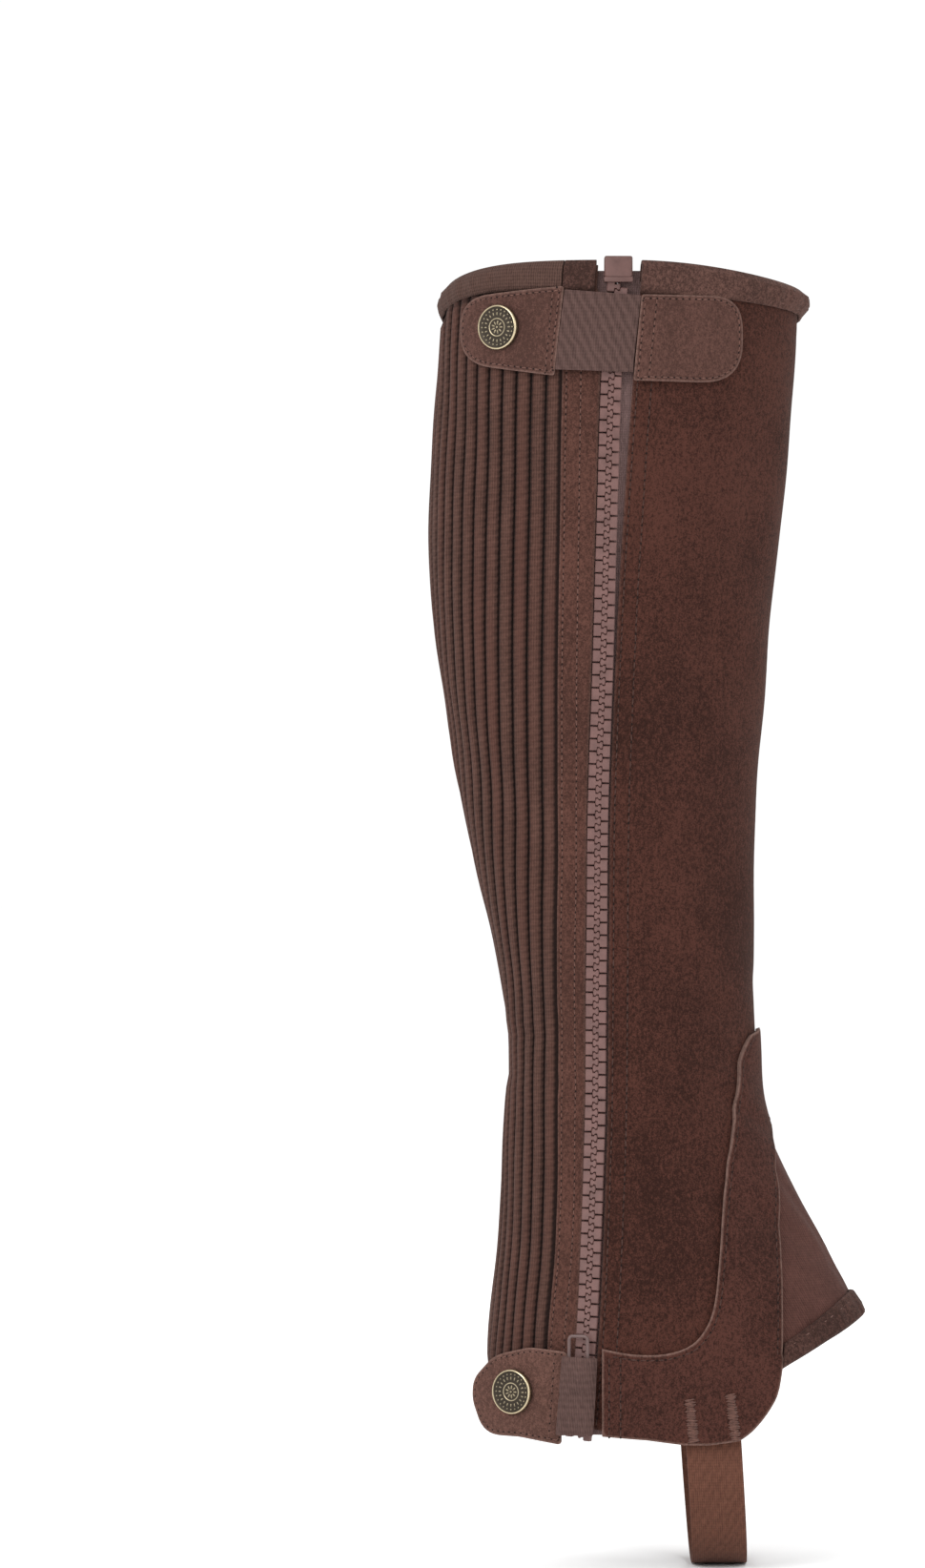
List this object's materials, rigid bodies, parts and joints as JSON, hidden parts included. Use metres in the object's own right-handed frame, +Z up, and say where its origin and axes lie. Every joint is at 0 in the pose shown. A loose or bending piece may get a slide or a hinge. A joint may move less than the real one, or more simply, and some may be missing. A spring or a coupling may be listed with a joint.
{
  "type": "riding half chap",
  "caption": "Zip-up suede half chap for the right leg, a tapered tube from below the knee to the ankle with ribbed stretch back, snap straps, toe gusset and stirrup strap.",
  "frame": {"origin": "on the leg's axis inside the tube, at the height of the calf's widest, where the wearer's leg holds it", "axes": "+Z up the leg, +X towards the toe, -Y the outer side with the zip, +Y the inner side of the right leg"},
  "size_m": [0.1476, 0.0904, 0.4386],
  "materials": {
    "suede": "napped suede, dark brown",
    "stretch": "fine brushed stretch fabric",
    "ribs": "padded ribs of stretch fabric",
    "elastic": "woven elastic",
    "tape": "woven zip tape",
    "zip": "moulded, satin",
    "webbing": "ribbed elastic webbing",
    "brass": "antique, dark in the field"
  },
  "bodies": {
    "root": {"outer_panel": "suede", "inner_panel": "stretch", "inner_patch": "suede", "inner_strip": "suede", "rib_panel": "ribs", "zip_strip": "suede", "zip_tape_back": "tape", "zip_tape_front": "tape", "zip_chain": "zip", "zip_end": "zip", "zip_box": "zip", "zip_slider": "zip", "zip_pull": "zip", "rim_binding": "suede", "rim_knit": "elastic", "rim_fold": "suede", "top_snap_tab": "suede", "top_elastic": "elastic", "top_tab": "suede", "ankle_snap_tab": "suede", "ankle_elastic": "elastic", "top_snap": "brass", "ankle_snap": "brass", "foot_guard": "suede", "gusset": "stretch", "gusset_binding": "suede", "hem_binding": "suede", "stirrup_strap": "webbing"}
  },
  "joints": []
}
